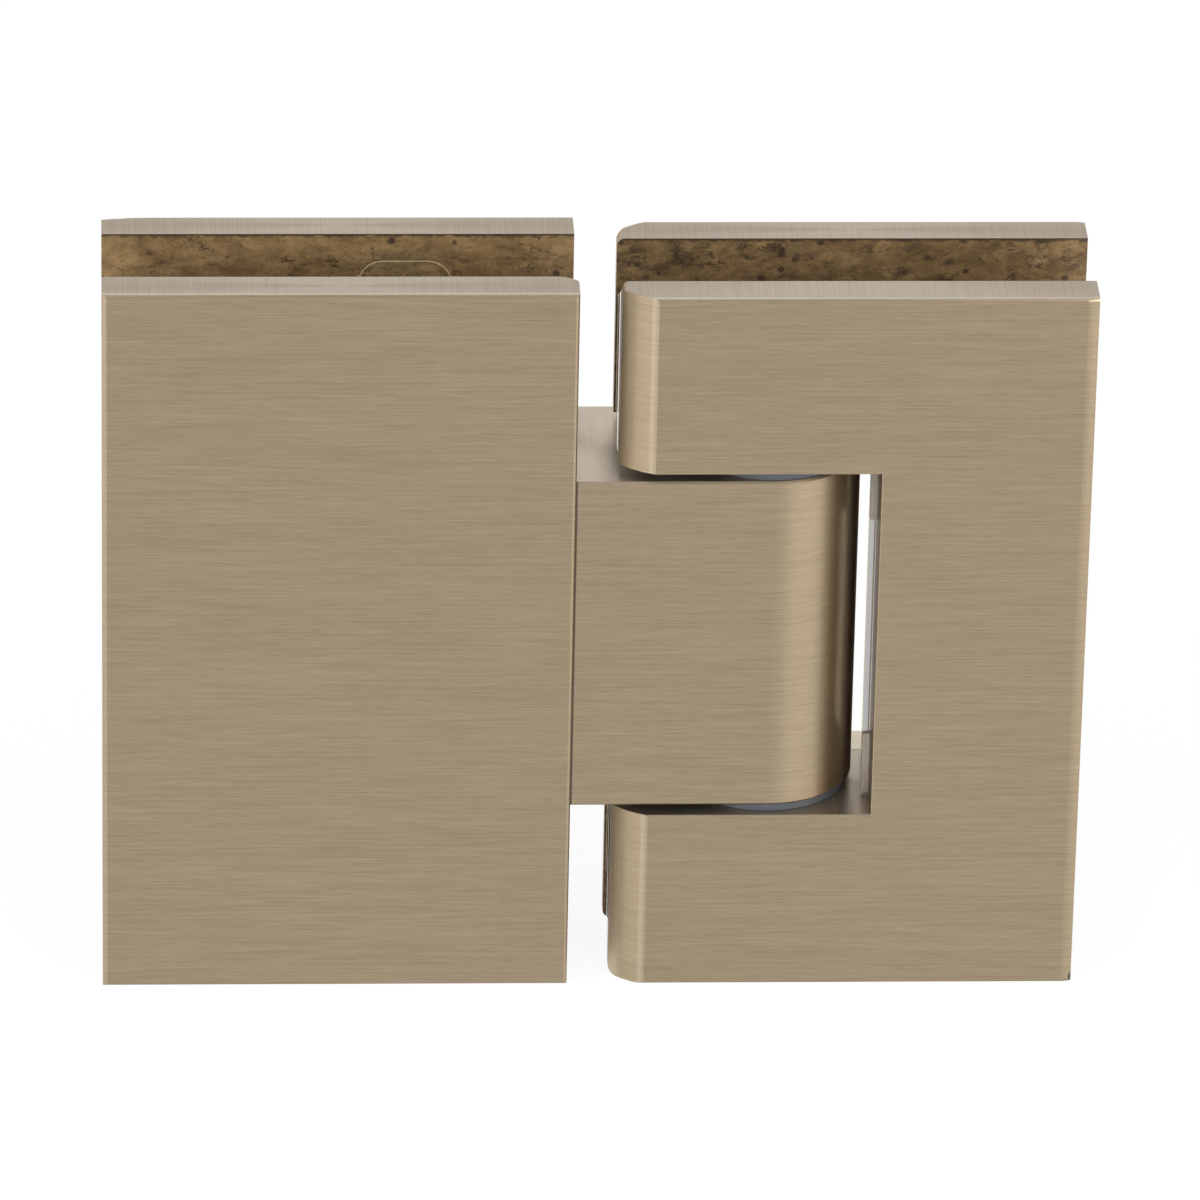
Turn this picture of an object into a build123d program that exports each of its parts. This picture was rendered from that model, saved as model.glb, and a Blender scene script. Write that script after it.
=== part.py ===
# Glass-to-glass shower door hinge: a fixed leaf with a round-nosed knuckle and a door leaf that swings on it.
# Millimetres. +X runs from the fixed leaf to the door leaf, +Y from the front to the back, +Z up along the pin.
# The origin is the middle of the closed hinge: half way along it, in the glass plane, at the fixed leaf's mid-height.
import os
from math import hypot, radians, sqrt, tan

from build123d import *

# Leaf plates
plate_width = 55.0
plate_thickness = 5.0
fixed_plate_height = 90.0
door_plate_height = 89.4
leaf_gap = 5.0
edge_round = 0.45

# Glass line between the plates
glass_thickness = 10.0
gasket_thickness = 1.0

# Window in the door plates, where the knuckle sits
window_height = 44.5
window_rise = 0.1
nose_to_wall = 1.7
back_window_ease = 1.4
window_edge_round = 0.2

# Swing relief on the near ends of the arms: an arc from the side to the outer face
relief_width = 4.15
relief_depth = 3.0
relief_radius = 9.3
arm_corner = 0.8
arm_corner_radius = 1.0

# Relief on the fixed front plate's inner edge beside the knuckle: an arc that runs off the inner face
inner_relief_width = 2.6
inner_relief_depth = 1.3
inner_relief_round = 0.3

# Eases on the far ends of the fixed back plate and the door plates: arcs that run off the outer face
fixed_ease_width = 6.0
fixed_ease_depth = 0.6
door_ease_width = 1.3
door_ease_depth = 0.25

# Shallow bevel on the fixed plates' far edges
bevel_width = 0.55
bevel_depth = 0.23

# Knuckle block and its tongue
knuckle_recess = 0.5
knuckle_edge_chamfer = 0.25
tongue_length = 40.0

# Pivot pin and its flanged bushes
pin_setback = 18.25
pin_diameter = 9.0
pin_end_recess = 0.5
pin_flat_depth = 0.35
pin_flat_margin = 1.0
pin_running_clearance = 0.04
pin_seat_clearance = 0.015
bush_wall = 2.0
bush_sleeve_length = 8.0
bush_flange_inset = 0.5
bush_flange_thickness = 1.0
bush_seat_clearance = 0.02
lower_end_play = 0.05
upper_end_play = 0.25

# Bearing bosses of the door's front plate
boss_near_reach = 11.0
boss_far_reach = 22.75
boss_height = 9.0
boss_corner = 4.0

# Clamp screws: countersunk, hexagon socket
screw_diameter = 6.0
screw_head_diameter = 12.0
screw_head_angle = 90.0
screw_head_recess = 0.15
screw_socket_flats = 4.0
screw_socket_depth = 2.4
screw_hole_clearance = 0.3
thread_clearance = 0.02
countersink_clearance = 0.05
fixed_screw_reach = 27.5
fixed_screw_pitch = 28.0
fixed_thread_depth = 4.2
fixed_screw_tip_gap = 0.3
door_screw_reach = 18.25
door_thread_depth = 12.0
door_screw_tip_gap = 1.0

# Detent: two sprung plungers that bear on the flat of the pin
plunger_pitch = 11.0
plunger_diameter = 5.0
plunger_length = 10.0
plunger_nose_height = 0.5
plunger_nose_diameter = 4.0
plunger_bore_clearance = 0.05
plunger_pin_clearance = 0.05
spring_length = 13.0
spring_wall = 0.7
spring_bore_clearance = 0.25
spring_screw_diameter = 6.0
spring_screw_length = 8.0
grub_socket_flats = 3.0
grub_socket_depth = 2.5

# Grub screws that lock the pin in the bosses
pin_screw_diameter = 5.0
pin_screw_socket_flats = 2.5
pin_screw_socket_depth = 2.0
pin_screw_tip_gap = 0.02

# Clear gaskets on the inner faces
gasket_side_inset = 2.0
gasket_near_inset = 0.2
gasket_near_reach = 0.35
gasket_front_inset = 1.0
gasket_back_inset = 6.5
gasket_clearance = 0.4
ear_reach = 19.7
ear_width = 11.0
ear_height = 3.5
ear_corner = 3.0
tab_width = 0.85
tab_height = 7.8

# Planes and places worked out from the sizes above
inner_y = glass_thickness / 2 + gasket_thickness
outer_y = inner_y + plate_thickness
plate_mid_y = (inner_y + outer_y) / 2
glass_gap = 2 * inner_y

fixed_x1 = -leaf_gap / 2
fixed_x0 = fixed_x1 - plate_width
fixed_z1 = fixed_plate_height / 2
fixed_z0 = -fixed_z1

door_x0 = leaf_gap / 2
door_x1 = door_x0 + plate_width
door_z0 = fixed_z0
door_z1 = door_z0 + door_plate_height
window_mid_z = (door_z0 + door_z1) / 2 + window_rise
window_z0 = window_mid_z - window_height / 2
window_z1 = window_mid_z + window_height / 2

pin_radius = pin_diameter / 2
pin_x = door_x0 + pin_setback
nose_radius = outer_y - knuckle_recess
window_wall_x = pin_x + nose_radius + nose_to_wall

knuckle_z0 = window_z0 + lower_end_play + bush_flange_thickness
knuckle_z1 = window_z1 - upper_end_play - bush_flange_thickness
knuckle_height = knuckle_z1 - knuckle_z0
knuckle_mid_z = (knuckle_z0 + knuckle_z1) / 2
tongue_x0 = fixed_x1 - tongue_length

bush_bore_radius = pin_radius + pin_running_clearance
bush_sleeve_radius = bush_bore_radius + bush_wall
bush_seat_radius = bush_sleeve_radius + bush_seat_clearance
bush_flange_radius = nose_radius - bush_flange_inset

boss_x0 = pin_x - boss_near_reach
boss_x1 = pin_x + boss_far_reach
upper_boss_mid_z = window_z1 + boss_height / 2
lower_boss_mid_z = window_z0 - boss_height / 2

screw_radius = screw_diameter / 2
screw_head_radius = screw_head_diameter / 2
screw_head_y = outer_y - screw_head_recess
screw_head_slope = tan(radians(screw_head_angle / 2))
fixed_screw_x = fixed_x1 - fixed_screw_reach
door_screw_x = pin_x + door_screw_reach

plunger_radius = plunger_diameter / 2
plunger_bore_radius = plunger_radius + plunger_bore_clearance
plunger_nose_x = pin_x - pin_radius - plunger_pin_clearance
plunger_end_x = plunger_nose_x - plunger_length
spring_screw_x1 = plunger_end_x - spring_length
spring_radius = plunger_bore_radius - spring_bore_clearance

overcut = 1.0

os.makedirs("parts", exist_ok=True)


# Front view planes: sketch x is X and sketch y is Z, and they extrude towards the front.
def front_plane(y):
    return Plane.XZ.offset(-y)


# Planes across the detent bores: they extrude towards the pin.
def cross_plane(x):
    return Plane(origin=(x, 0, 0), x_dir=(0, 1, 0), z_dir=(1, 0, 0))


def box_between(low, high):
    centre = tuple((a + b) / 2 for a, b in zip(low, high))
    with Locations(centre):
        Box(*(b - a for a, b in zip(low, high)))


def write(part, label):
    part.label = label
    export_step(part, f"parts/{label}.step")


# Fixed plate on one side of the glass. One upright corner of its plan is cut off by an arc that leaves the
# plate's face at its tangent. The plan is carried up, the far edge bevelled and the outer face's edges eased.
def fixed_plate(side, corner, arc_start, arc_end):
    box_between(
        (fixed_x0, side * plate_mid_y - plate_thickness / 2, fixed_z0),
        (fixed_x1, side * plate_mid_y + plate_thickness / 2, fixed_z1),
    )
    with BuildSketch(Plane.XY.offset(fixed_z0)) as cut:
        with BuildLine():
            TangentArc(arc_start, arc_end, tangent=(corner[0] - arc_start[0], 0))
            Polyline(arc_end, corner, arc_start)
        make_face()
    extrude(cut.sketch, amount=fixed_plate_height, mode=Mode.SUBTRACT)
    far_side = faces().filter_by(Axis.X).sort_by(Axis.X)[0]
    far_edge = far_side.edges().filter_by(Axis.Z).sort_by(Axis.Y)[0 if side < 0 else -1]
    chamfer(far_edge, bevel_depth, bevel_width, reference=far_side)
    rim = faces().filter_by(Axis.Y).sort_by(Axis.Y)[0 if side < 0 else -1].edges()
    fillet(rim.sort_by(Axis.X)[-1:] + rim.filter_by(Axis.X), edge_round)


# Countersinks in a back plate for the clamp screws
def countersunk_holes(places):
    with Locations(Plane(origin=(0, outer_y, 0), x_dir=(1, 0, 0), z_dir=(0, 1, 0))):
        with Locations(*[(x, -z) for x, z in places]):
            CounterSinkHole(
                screw_radius + screw_hole_clearance,
                screw_head_radius + screw_head_recess * screw_head_slope + countersink_clearance,
                counter_sink_angle=screw_head_angle,
            )


# Fixed leaf: front plate with blind threads for the clamp screws, back plate countersunk for their heads
fixed_screw_places = [
    (fixed_screw_x, knuckle_mid_z + fixed_screw_pitch / 2),
    (fixed_screw_x, knuckle_mid_z - fixed_screw_pitch / 2),
]

with BuildPart() as fixed_front_plate:
    fixed_plate(
        -1,
        corner=(fixed_x1, -inner_y),
        arc_start=(fixed_x1 - inner_relief_width, -inner_y),
        arc_end=(fixed_x1, -inner_y - inner_relief_depth),
    )
    relief_edge = fixed_front_plate.edges().filter_by(Axis.Z).group_by(Axis.X)[-1].sort_by(Axis.Y)[-1]
    fillet(relief_edge, inner_relief_round)
    with BuildSketch(front_plane(-inner_y)):
        with Locations(*fixed_screw_places):
            Circle(screw_radius + thread_clearance)
    extrude(amount=fixed_thread_depth, mode=Mode.SUBTRACT)
write(fixed_front_plate.part, "fixed_front_plate")

with BuildPart() as fixed_back_plate:
    fixed_plate(
        1,
        corner=(fixed_x0, outer_y),
        arc_start=(fixed_x0 + fixed_ease_width, outer_y),
        arc_end=(fixed_x0, outer_y - fixed_ease_depth),
    )
    countersunk_holes(fixed_screw_places)
write(fixed_back_plate.part, "fixed_back_plate")

# Knuckle block: a full-round nose on the pin axis, bored straight through for both bushes, and a tongue that
# fills the gap between the fixed plates
plunger_places = {
    "upper": knuckle_mid_z + plunger_pitch / 2,
    "lower": knuckle_mid_z - plunger_pitch / 2,
}

with BuildPart() as knuckle_block:
    with BuildSketch(Plane.XY.offset(knuckle_z0)):
        with Locations((pin_x, 0)):
            Circle(nose_radius)
        with Locations(((fixed_x1 + pin_x) / 2, 0)):
            Rectangle(pin_x - fixed_x1, 2 * nose_radius)
        with Locations(((tongue_x0 + fixed_x1) / 2, 0)):
            Rectangle(tongue_length, glass_gap)
    extrude(amount=knuckle_height)
    rim = knuckle_block.faces().filter_by(Axis.Z).edges()
    rim = rim.filter_by_position(Axis.X, fixed_x1, pin_x + nose_radius, inclusive=(False, True))
    chamfer(rim, knuckle_edge_chamfer)
    with BuildSketch(Plane.XY.offset(knuckle_z0)):
        with Locations((pin_x, 0)):
            Circle(bush_seat_radius)
    extrude(amount=knuckle_height, mode=Mode.SUBTRACT)
    with BuildSketch(cross_plane(spring_screw_x1)):
        with Locations(*[(0, z) for z in plunger_places.values()]):
            Circle(plunger_bore_radius)
    extrude(amount=pin_x - spring_screw_x1, mode=Mode.SUBTRACT)
    with BuildSketch(cross_plane(tongue_x0 - overcut)):
        with Locations(*[(0, z) for z in plunger_places.values()]):
            Circle(spring_screw_diameter / 2 + thread_clearance)
    extrude(amount=spring_screw_x1 - tongue_x0 + overcut, mode=Mode.SUBTRACT)
    with BuildSketch(front_plane(inner_y)):
        with Locations(*fixed_screw_places):
            Circle(screw_radius + screw_hole_clearance)
    extrude(amount=glass_gap, mode=Mode.SUBTRACT)
write(knuckle_block.part, "knuckle_block")

# Flanged bushes: the sleeve sits in the knuckle and the flange is the thrust washer under or over the arm
for name, face_z, inward in (("upper_bush", knuckle_z1, -1), ("lower_bush", knuckle_z0, 1)):
    with BuildPart() as bush:
        with BuildSketch(Plane.XY.offset(face_z)):
            with Locations((pin_x, 0)):
                Circle(bush_sleeve_radius)
        extrude(amount=inward * bush_sleeve_length)
        with BuildSketch(Plane.XY.offset(face_z)):
            with Locations((pin_x, 0)):
                Circle(bush_flange_radius)
        extrude(amount=-inward * bush_flange_thickness)
        with Locations((pin_x, 0, face_z)):
            Cylinder(bush_bore_radius, 2 * (bush_sleeve_length + bush_flange_thickness), mode=Mode.SUBTRACT)
    write(bush.part, name)

# Detent plungers: a flat nose with a bevelled rim towards the pin and a flat end for the spring
for name, z in plunger_places.items():
    with BuildPart() as plunger:
        with BuildSketch(Plane.XZ):
            with BuildLine():
                Polyline(
                    (plunger_nose_x, z),
                    (plunger_nose_x, z + plunger_nose_diameter / 2),
                    (plunger_nose_x - plunger_nose_height, z + plunger_radius),
                    (plunger_end_x, z + plunger_radius),
                    (plunger_end_x, z),
                    close=True,
                )
            make_face()
        revolve(axis=Axis((0, 0, z), (1, 0, 0)))
    write(plunger.part, f"{name}_plunger")

# Detent springs: the outside and inside of each coil, from the spring screw to the plunger
for name, z in plunger_places.items():
    with BuildPart() as spring:
        with BuildSketch(cross_plane(spring_screw_x1)):
            with Locations((0, z)):
                Circle(spring_radius)
                Circle(spring_radius - spring_wall, mode=Mode.SUBTRACT)
        extrude(amount=spring_length)
    write(spring.part, f"{name}_spring")


# Grub screw along X: tip_x is the end that presses, socket_x the end with the hexagon
def grub_screw(socket_x, tip_x, z, diameter, socket_flats, socket_depth):
    with BuildSketch(cross_plane(socket_x)) as shank:
        with Locations((0, z)):
            Circle(diameter / 2)
    extrude(shank.sketch, amount=tip_x - socket_x)
    with BuildSketch(cross_plane(socket_x)) as socket:
        with Locations((0, z)):
            RegularPolygon(socket_flats / 2, 6, major_radius=False)
    extrude(socket.sketch, amount=socket_depth, mode=Mode.SUBTRACT)


# Spring screws: they set how hard the plungers press, reached from the end of the tongue
for name, z in plunger_places.items():
    with BuildPart() as spring_screw:
        grub_screw(
            spring_screw_x1 - spring_screw_length,
            spring_screw_x1,
            z,
            spring_screw_diameter,
            grub_socket_flats,
            grub_socket_depth,
        )
    write(spring_screw.part, f"{name}_spring_screw")


# Clamp screw along Y: countersunk head at the back, tip towards the front
def clamp_screw(x, z, tip_y):
    neck_y = screw_head_y - (screw_head_radius - screw_radius) / screw_head_slope
    with BuildSketch(Plane.XY.offset(z)) as profile:
        with BuildLine():
            Polyline(
                (x, screw_head_y),
                (x + screw_head_radius, screw_head_y),
                (x + screw_radius, neck_y),
                (x + screw_radius, tip_y),
                (x, tip_y),
                close=True,
            )
        make_face()
    revolve(profile.sketch, axis=Axis((x, 0, z), (0, 1, 0)))
    with BuildSketch(front_plane(screw_head_y)) as socket:
        with Locations((x, z)):
            RegularPolygon(screw_socket_flats / 2, 6, major_radius=False)
    extrude(socket.sketch, amount=screw_socket_depth, mode=Mode.SUBTRACT)


# Fixed leaf: clamp screws through the back plate and the tongue into the front plate
for name, (x, z) in zip(("upper", "lower"), fixed_screw_places):
    with BuildPart() as screw:
        clamp_screw(x, z, -inner_y - fixed_thread_depth + fixed_screw_tip_gap)
    write(screw.part, f"fixed_{name}_clamp_screw")


# Fixed leaf: a clear sheet on each inner face, cut round the tongue
def fixed_gasket_outline(inset):
    x0 = fixed_x0 + gasket_side_inset
    x1 = fixed_x1 - inner_relief_width - gasket_near_inset
    with Locations(((x0 + x1) / 2, 0)):
        Rectangle(x1 - x0, fixed_plate_height - 2 * inset)
    notch_x0 = tongue_x0 - gasket_clearance
    with Locations(((notch_x0 + fixed_x1) / 2, knuckle_mid_z)):
        Rectangle(fixed_x1 - notch_x0, knuckle_height + 2 * gasket_clearance, mode=Mode.SUBTRACT)


with BuildPart() as fixed_front_gasket:
    with BuildSketch(front_plane(gasket_thickness - inner_y)):
        fixed_gasket_outline(gasket_front_inset)
    extrude(amount=gasket_thickness)
write(fixed_front_gasket.part, "fixed_front_gasket")

with BuildPart() as fixed_back_gasket:
    with BuildSketch(front_plane(inner_y)):
        fixed_gasket_outline(gasket_back_inset)
        ear_z = fixed_z1 - gasket_back_inset
        with Locations((fixed_x1 - ear_reach, ear_z), (fixed_x1 - ear_reach, -ear_z)):
            RectangleRounded(ear_width, 2 * ear_height, ear_corner)
    extrude(amount=gasket_thickness)
write(fixed_back_gasket.part, "fixed_back_gasket")


# Door plate on one side of the glass. Seen from above, its near end is relieved by an arc so that the arms
# swing clear of the glass edge, and its far end eased. The plan is carried up and cut to the front outline,
# which has the window up to wall_x and the arms' rounded corners. Last, the outer edges are eased.
def door_plate(side, wall_x):
    side_point = (door_x0, side * (outer_y - relief_depth))
    face_point = (door_x0 + relief_width, side * outer_y)
    chord = hypot(relief_width, relief_depth)
    bulge = relief_radius - sqrt(relief_radius**2 - chord**2 / 4)
    middle = (
        door_x0 + relief_width / 2 - bulge * relief_depth / chord,
        side * (outer_y - relief_depth / 2 + bulge * relief_width / chord),
    )
    ease_point = (door_x1 - door_ease_width, side * outer_y)
    far_point = (door_x1, side * (outer_y - door_ease_depth))
    with BuildSketch(Plane.XY.offset(door_z0)) as plan:
        with BuildLine():
            Polyline(side_point, (door_x0, side * inner_y), (door_x1, side * inner_y), far_point)
            TangentArc(ease_point, far_point, tangent=(1, 0))
            Line(ease_point, face_point)
            ThreePointArc(face_point, middle, side_point)
        make_face()
    extrude(plan.sketch, amount=door_plate_height)
    corner_x = door_x0 + arm_corner
    with BuildSketch(front_plane(side * plate_mid_y + plate_thickness)) as outline:
        with BuildLine():
            Polyline((corner_x, door_z0), (door_x1, door_z0), (door_x1, door_z1), (corner_x, door_z1))
            RadiusArc((corner_x, door_z1), (door_x0, door_z1 - arm_corner), -arm_corner_radius)
            Line((door_x0, door_z1 - arm_corner), (door_x0, door_z0 + arm_corner))
            RadiusArc((door_x0, door_z0 + arm_corner), (corner_x, door_z0), -arm_corner_radius)
        make_face()
        with Locations(((door_x0 - overcut + wall_x) / 2, window_mid_z)):
            Rectangle(wall_x - door_x0 + overcut, window_height, mode=Mode.SUBTRACT)
    extrude(outline.sketch, amount=2 * plate_thickness, mode=Mode.INTERSECT)
    rim = faces().filter_by(Axis.Y).sort_by(Axis.Y)[0 if side < 0 else -1].edges()
    inside = rim.filter_by_position(Axis.Z, window_z0, window_z1)
    inside = inside.filter_by_position(Axis.X, door_x0, wall_x)
    fillet(rim.sort_by(Axis.Z)[:1] + rim.sort_by(Axis.Z)[-1:], edge_round)
    fillet(inside, window_edge_round)


# Bearing bosses: each fills the gap beside an arm, from the window's edge outwards
boss_places = {"upper": (window_z1, upper_boss_mid_z), "lower": (window_z0, lower_boss_mid_z)}
door_screw_places = [(door_screw_x, mid_z) for root_z, mid_z in boss_places.values()]

with BuildPart() as door_front_plate:
    door_plate(-1, window_wall_x)
    for root_z, mid_z in boss_places.values():
        with BuildSketch(front_plane(inner_y)) as boss_outline:
            with Locations(((boss_x0 + boss_x1) / 2, mid_z)):
                Rectangle(boss_x1 - boss_x0, boss_height)
            fillet(boss_outline.vertices().group_by(Axis.Y)[-1 if mid_z > root_z else 0], boss_corner)
        extrude(amount=glass_gap)
    for root_z, mid_z in boss_places.values():
        with Locations((pin_x, 0, mid_z)):
            Cylinder(pin_radius + pin_seat_clearance, boss_height, mode=Mode.SUBTRACT)
        with BuildSketch(cross_plane(boss_x0)):
            with Locations((0, mid_z)):
                Circle(pin_screw_diameter / 2 + thread_clearance)
        extrude(amount=boss_near_reach, mode=Mode.SUBTRACT)
    with BuildSketch(front_plane(inner_y)):
        with Locations(*door_screw_places):
            Circle(screw_radius + thread_clearance)
    extrude(amount=door_thread_depth, mode=Mode.SUBTRACT)
write(door_front_plate.part, "door_front_plate")

with BuildPart() as door_back_plate:
    door_plate(1, window_wall_x + back_window_ease)
    countersunk_holes(door_screw_places)
write(door_back_plate.part, "door_back_plate")

# Door leaf: clamp screws through the back plate into the bosses
for name, (x, z) in zip(("upper", "lower"), door_screw_places):
    with BuildPart() as screw:
        clamp_screw(x, z, inner_y - door_thread_depth + door_screw_tip_gap)
    write(screw.part, f"door_{name}_clamp_screw")

# Pivot pin, flat on the side that the plungers bear on while the door is shut
pin_z0 = window_z0 - boss_height + pin_end_recess
pin_z1 = window_z1 + boss_height - pin_end_recess
pin_flat_height = plunger_pitch + plunger_diameter + 2 * pin_flat_margin

with BuildPart() as pivot_pin:
    with Locations((pin_x, 0, (pin_z0 + pin_z1) / 2)):
        Cylinder(pin_radius, pin_z1 - pin_z0)
    with Locations((pin_x - pin_radius, 0, knuckle_mid_z)):
        Box(2 * pin_flat_depth, pin_diameter, pin_flat_height, mode=Mode.SUBTRACT)
write(pivot_pin.part, "pivot_pin")

# Pin screws: they lock the pin in the bosses, reached from the open end of the gap
for name, (root_z, mid_z) in boss_places.items():
    with BuildPart() as pin_screw:
        grub_screw(
            boss_x0,
            pin_x - pin_radius - pin_screw_tip_gap,
            mid_z,
            pin_screw_diameter,
            pin_screw_socket_flats,
            pin_screw_socket_depth,
        )
    write(pin_screw.part, f"{name}_pin_screw")


# Door leaf: a clear sheet on each inner face, cut round the window and the bosses
def door_gasket_outline(inset, x0):
    x1 = door_x1 - gasket_side_inset
    with Locations(((x0 + x1) / 2, (door_z0 + door_z1) / 2)):
        Rectangle(x1 - x0, door_plate_height - 2 * inset)
    cut_z0 = window_z0 - gasket_clearance
    cut_z1 = window_z1 + gasket_clearance
    with Locations(((x0 + window_wall_x) / 2, (cut_z0 + cut_z1) / 2)):
        Rectangle(window_wall_x - x0, cut_z1 - cut_z0, mode=Mode.SUBTRACT)
    with Locations(*[((boss_x0 + boss_x1) / 2, mid_z) for root_z, mid_z in boss_places.values()]):
        Rectangle(
            boss_x1 - boss_x0 + 2 * gasket_clearance,
            boss_height + 2 * gasket_clearance,
            mode=Mode.SUBTRACT,
        )


with BuildPart() as door_front_gasket:
    with BuildSketch(front_plane(gasket_thickness - inner_y)):
        door_gasket_outline(gasket_front_inset, door_x0 - gasket_near_reach)
        for low, high in (
            (window_z1 - tab_height, window_z1 - gasket_clearance),
            (window_z0 + gasket_clearance, window_z0 + tab_height),
        ):
            with Locations((window_wall_x, (low + high) / 2)):
                Rectangle(2 * tab_width, high - low)
    extrude(amount=gasket_thickness)
write(door_front_gasket.part, "door_front_gasket")

with BuildPart() as door_back_gasket:
    with BuildSketch(front_plane(inner_y)):
        door_gasket_outline(gasket_back_inset, door_x0 + gasket_near_inset)
    extrude(amount=gasket_thickness)
write(door_back_gasket.part, "door_back_gasket")
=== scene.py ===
import bpy
import numpy as np
from mathutils import Matrix, Vector


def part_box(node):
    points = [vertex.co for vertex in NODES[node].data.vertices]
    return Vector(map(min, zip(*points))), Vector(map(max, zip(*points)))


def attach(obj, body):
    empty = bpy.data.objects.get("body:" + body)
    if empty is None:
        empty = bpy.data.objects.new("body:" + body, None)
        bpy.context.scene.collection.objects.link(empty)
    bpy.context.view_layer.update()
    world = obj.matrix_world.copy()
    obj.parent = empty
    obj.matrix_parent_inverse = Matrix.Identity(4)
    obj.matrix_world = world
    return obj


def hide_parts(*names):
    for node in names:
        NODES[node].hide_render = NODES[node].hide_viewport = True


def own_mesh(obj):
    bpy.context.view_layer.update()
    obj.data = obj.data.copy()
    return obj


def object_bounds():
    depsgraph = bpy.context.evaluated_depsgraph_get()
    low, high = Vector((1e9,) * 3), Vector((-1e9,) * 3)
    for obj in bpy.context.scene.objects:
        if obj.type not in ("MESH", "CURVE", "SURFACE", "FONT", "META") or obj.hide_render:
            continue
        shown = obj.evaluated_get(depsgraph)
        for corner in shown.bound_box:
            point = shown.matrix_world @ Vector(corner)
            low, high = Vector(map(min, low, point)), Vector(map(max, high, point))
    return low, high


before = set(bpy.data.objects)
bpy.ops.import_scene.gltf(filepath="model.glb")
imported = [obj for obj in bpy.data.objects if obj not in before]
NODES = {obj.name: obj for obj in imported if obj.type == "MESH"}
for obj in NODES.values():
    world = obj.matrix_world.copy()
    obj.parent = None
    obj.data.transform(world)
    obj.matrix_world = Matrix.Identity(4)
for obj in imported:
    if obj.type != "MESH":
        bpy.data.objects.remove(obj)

CAD_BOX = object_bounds()
MM = 0.001

# Places of the hinge in metres, from the frame: X along the hinge, Y through the glass, Z up
FLOOR = CAD_BOX[0].z
FIXED_LOW, FIXED_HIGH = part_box("fixed_back_plate")
DOOR_LOW, DOOR_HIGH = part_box("door_back_plate")
KNUCKLE_LOW, KNUCKLE_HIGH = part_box("knuckle_block")
PIN_LOW, PIN_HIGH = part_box("pivot_pin")
INNER_FACE = FIXED_LOW.y
OUTER_FACE = FIXED_HIGH.y
FIXED_TOP = FIXED_HIGH.z
DOOR_TOP = DOOR_HIGH.z
FIXED_END = FIXED_HIGH.x
DOOR_END = DOOR_LOW.x
PIN_X = (PIN_LOW.x + PIN_HIGH.x) / 2

# The window in the door leaf, round the knuckle's nose
NOSE_RADIUS = KNUCKLE_HIGH.y
NOSE_TO_WALL = 1.7 * MM
UPPER_PLAY = 0.25 * MM
LOWER_PLAY = 0.05 * MM
WINDOW_WALL = PIN_X + NOSE_RADIUS + NOSE_TO_WALL
WINDOW_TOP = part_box("upper_bush")[1].z + UPPER_PLAY
WINDOW_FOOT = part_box("lower_bush")[0].z - LOWER_PLAY

# The bosses that hold the ends of the pin
PIN_RECESS = 0.5 * MM
BOSS_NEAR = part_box("upper_pin_screw")[0].x
BOSS_FAR = PIN_X + 22.75 * MM
BOSS_TOP = PIN_HIGH.z + PIN_RECESS
BOSS_FOOT = PIN_LOW.z - PIN_RECESS

# Where tones change: each pair is a start and an end along X, unless its name says Z or below the top
JOINT_LINE = (FIXED_END + 0.1 * MM, FIXED_END + 0.25 * MM)
# Painted highlight along the arms' crease
CREASE = (DOOR_END + 3.35 * MM, DOOR_END + 3.8 * MM)
# Painted light at the near ends of the arms
LIT_NEAR_END = (DOOR_END - 0.5 * MM, DOOR_END + 0.9 * MM)
# Painted shade under the arms, on the knuckle's ends
ARM_SHADE = (DOOR_END + 1.0 * MM, DOOR_END + 3.5 * MM)
# Painted shade under the nose, on the window's level walls
NOSE_SHADE = (WINDOW_WALL - 3.45 * MM, WINDOW_WALL - 0.45 * MM)
# Where the raw brass keeps out of the painted deep shade: near the door plates' ends, below a height
BRIGHT_END = (DOOR_END - 2.5 * MM, DOOR_END + 3.5 * MM)
BRIGHT_BELOW_Z = (28.0 * MM, 31.0 * MM)
# How far below the top the painted deep shade of the raw brass comes in
DEEP_BELOW_TOP = (6.0 * MM, 9.0 * MM)
WALL_REACH = WINDOW_WALL + 3.0 * MM
SHEET_STRIP = (WINDOW_WALL, WINDOW_WALL + 1.5 * MM)
SHEET_FREE_EDGE = (DOOR_END - 2.5 * MM, DOOR_END - 0.05 * MM)
WINDOW_HALF = 22.3 * MM
WINDOW_MARGIN = 0.5 * MM


# Node building
def put(tree, socket, value):
    """A socket linked to another socket, or set to a number, a vector or a colour of red, green and
    blue."""
    if isinstance(value, bpy.types.NodeSocket):
        tree.links.new(value, socket)
    elif socket.type == "RGBA" and len(value) == 3:
        socket.default_value = (*value, 1.0)
    else:
        socket.default_value = value


def feed(tree, sockets, values):
    """Several sockets, by name or number, each put to its value."""
    for key, value in values.items():
        put(tree, sockets[key], value)


def node(tree, kind, values=None, **settings):
    """One shader node: settings are its properties, and values its inputs, each a value or a socket to
    link."""
    made = tree.nodes.new(kind)
    for name, value in settings.items():
        setattr(made, name, value)
    feed(tree, made.inputs, values or {})
    return made


def maths(tree, operation, *values):
    """The result of one Math node on numbers or sockets."""
    return node(tree, "ShaderNodeMath", dict(enumerate(values)), operation=operation).outputs[0]


def times(tree, *values):
    """The product of two or more numbers or sockets."""
    product = values[0]
    for value in values[1:]:
        product = maths(tree, "MULTIPLY", product, value)
    return product


def opposite(tree, mask):
    """0 where a mask is 1, and 1 where it is 0."""
    return maths(tree, "SUBTRACT", 1.0, mask)


def centred(tree, value):
    """A value from 0 to 1 moved to lie about 0."""
    return maths(tree, "SUBTRACT", value, 0.5)


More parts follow.
